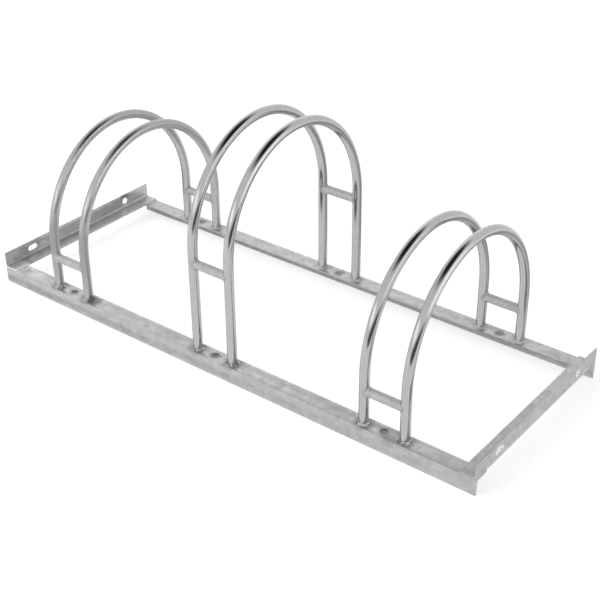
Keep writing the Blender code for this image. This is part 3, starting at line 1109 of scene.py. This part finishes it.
def make_floor():
    mesh = bpy.data.meshes.new("floor")
    corners = [(x * FLOOR_HALF, y * FLOOR_HALF, 0) for x, y in ((-1, -1), (1, -1), (1, 1), (-1, 1))]
    mesh.from_pydata(corners, [], [(0, 1, 2, 3)])
    floor = new_object("floor", mesh)
    material, tree = new_material("pale_floor")
    shader = tree.nodes["Principled BSDF"]
    tree.links.new(spread(tree, rail_shade(tree), FLOOR_TONE, SHADE_TONE), shader.inputs["Base Color"])
    shader.inputs["Roughness"].default_value = FLOOR_ROUGHNESS
    shader.inputs["Specular IOR Level"].default_value = 0.0
    glow = multiply(tree, seen_directly(tree), spread(tree, rail_shade(tree), FLOOR_GLOW, 0))
    tree.links.new(glow, shader.inputs["Emission Strength"])
    shader.inputs["Emission Color"].default_value = (1, 1, 1, 1)
    mesh.materials.append(material)
    return floor


floor = make_floor()
print("floor, metres:", [round(side, 1) for side in floor.dimensions])

# %% [markdown]
# ## The surroundings
# Metal shows what is around it, so the studio matters as much as the finish. The world is plain white
# for what is seen directly and gives less than half as much light, so that white stays white and the
# metal keeps its tones.

# %% Make the surroundings
WORLD_LIGHT = 0.45

world = bpy.data.worlds.new("white_studio")
bpy.context.scene.world = world
world.use_nodes = True
tree = world.node_tree
background = tree.nodes["Background"]
tree.links.new(spread(tree, seen_directly(tree), WORLD_LIGHT, 1.0), background.inputs["Strength"])
background.inputs["Color"].default_value = (1, 1, 1, 1)
print("light from all sides:", WORLD_LIGHT, "of white")

# %% [markdown]
# ## Cards for the reflections
# A tube in an all white room looks flat, so photographers put up cards that only the reflections see.
# The tubes carry a narrow black line along the rising half of each arch, with white beside it. The black
# is a dark ceiling over the stand and a dark room behind the camera. The white is a pale wall at the
# right and the face of a softbox in front. A pale backdrop brightens the far sides of the tubes, and a
# dark and a pale patch of floor part their undersides. The dark patch is a painted shadow of the stand
# on the floor behind it, seen only in reflections. Each card is an oval. Its middle is solid and it
# thins out to nothing at its rim, so that it has no hard edge.

# %% Hang the cards
CARD_SIDES = 64


def card_finish(name, brightness, solid):
    """Glows evenly. From the share solid of its radius outwards it turns clear."""
    material, tree = new_material(name)
    tree.nodes.remove(tree.nodes["Principled BSDF"])
    from_middle = add_node(tree, "ShaderNodeTexCoord").outputs["Object"]
    length = add_node(tree, "ShaderNodeVectorMath", {0: from_middle}, operation="LENGTH").outputs["Value"]
    clear = ramp(tree, length, solid, 1.0)
    even = {"Color": (1, 1, 1, 1), "Strength": brightness}
    glow = add_node(tree, "ShaderNodeEmission", even).outputs["Emission"]
    through = add_node(tree, "ShaderNodeBsdfTransparent").outputs["BSDF"]
    mixed = add_node(tree, "ShaderNodeMixShader", {0: clear, 1: glow, 2: through}).outputs["Shader"]
    tree.links.new(mixed, tree.nodes["Material Output"].inputs["Surface"])
    return material


def hang_card(name, place, facing, width, height, brightness, solid):
    """An oval at place that faces a point. Its brightness is what a mirror would show, where 1 is white."""
    rim = [(math.cos(turn), math.sin(turn), 0) for turn in full_turn(CARD_SIDES)]
    mesh = bpy.data.meshes.new(name)
    mesh.from_pydata(rim, [], [tuple(range(CARD_SIDES))])
    card = new_object(name, mesh)
    turn = (Vector(facing) - Vector(place)).to_track_quat("Z", "Y").to_matrix().to_4x4()
    card.matrix_world = Matrix.Translation(place) @ turn @ Matrix.Diagonal((width / 2, height / 2, 1, 1))
    mesh.materials.append(card_finish(name, brightness, solid))
    card.visible_camera = card.visible_diffuse = card.visible_shadow = card.visible_transmission = False
    return card


# In order: place, point that it faces, width, height, brightness, and solid share of the radius
CARDS = {
    "dark_ceiling": ((0.40, 0.12, 1.85), (0.40, 0.12, 0), 4.0, 2.6, 0.03, 0.35),
    "dark_room": ((1.1, -0.9, 0.2), (0, 0, 0.2), 3.0, 0.75, 0.1, 0.35),
    "pale_wall": ((3.96, 0.56, 0.95), (0, 0, 0.4), 6.4, 5.0, 1.8, 0.45),
    # A painted shadow of the stand on the floor behind it, seen only in reflections
    "painted_floor_shadow": ((0.3, 0.47, 0.004), (0.3, 0.47, 1), 1.3, 0.62, 0.5, 0.35),
    "pale_floor": ((2.0, 1.2, 0.004), (2.0, 1.2, 1), 2.8, 2.4, 1.5, 0.5),
    "pale_backdrop": ((-2.4, 2.8, 1.9), (0, 0, 0.1), 5.0, 3.0, 1.25, 0.5),
    "softbox_face": ((-0.7, -2.5, 1.15), (0, 0, 0.3), 4.6, 1.4, 1.8, 0.4),
}
for name, numbers in CARDS.items():
    hang_card(name, *numbers)
print("cards:", list(CARDS))

# %% [markdown]
# ## The lamp
# One big soft lamp, high in front and to the left, lights the stand and the floor and draws the soft
# shadows. Its power is worked out from how bright its face should look, which is easier to judge than
# watts. Metal shows the cards instead of it.

# %% Hang the lamp
def hang_lamp(name, place, target, width, depth, brightness):
    """A rectangular lamp. Its brightness is that of its face, where 1 is white."""
    data = bpy.data.lights.new(name, "AREA")
    data.shape, data.size, data.size_y = "RECTANGLE", width, depth
    data.energy = brightness * math.pi * width * depth
    lamp = new_object(name, data)
    lamp.location = place
    lamp.rotation_euler = (Vector(place) - Vector(target)).to_track_quat("Z", "Y").to_euler()
    lamp.visible_glossy = False
    return lamp


softbox = hang_lamp("softbox", (-1.6, -2.0, 2.6), (0, 0, 0), 3.0, 3.0, 1.5)
print("lamp, watts:", round(softbox.data.energy, 1))

# %% [markdown]
# ## Colours as written
# Blender can bend the picture's tones as film does. The Standard view leaves them alone, so a colour
# comes out as the material says.

# %% Choose the plain view
bpy.context.scene.view_settings.view_transform = "Standard"
print("view:", bpy.context.scene.view_settings.view_transform)
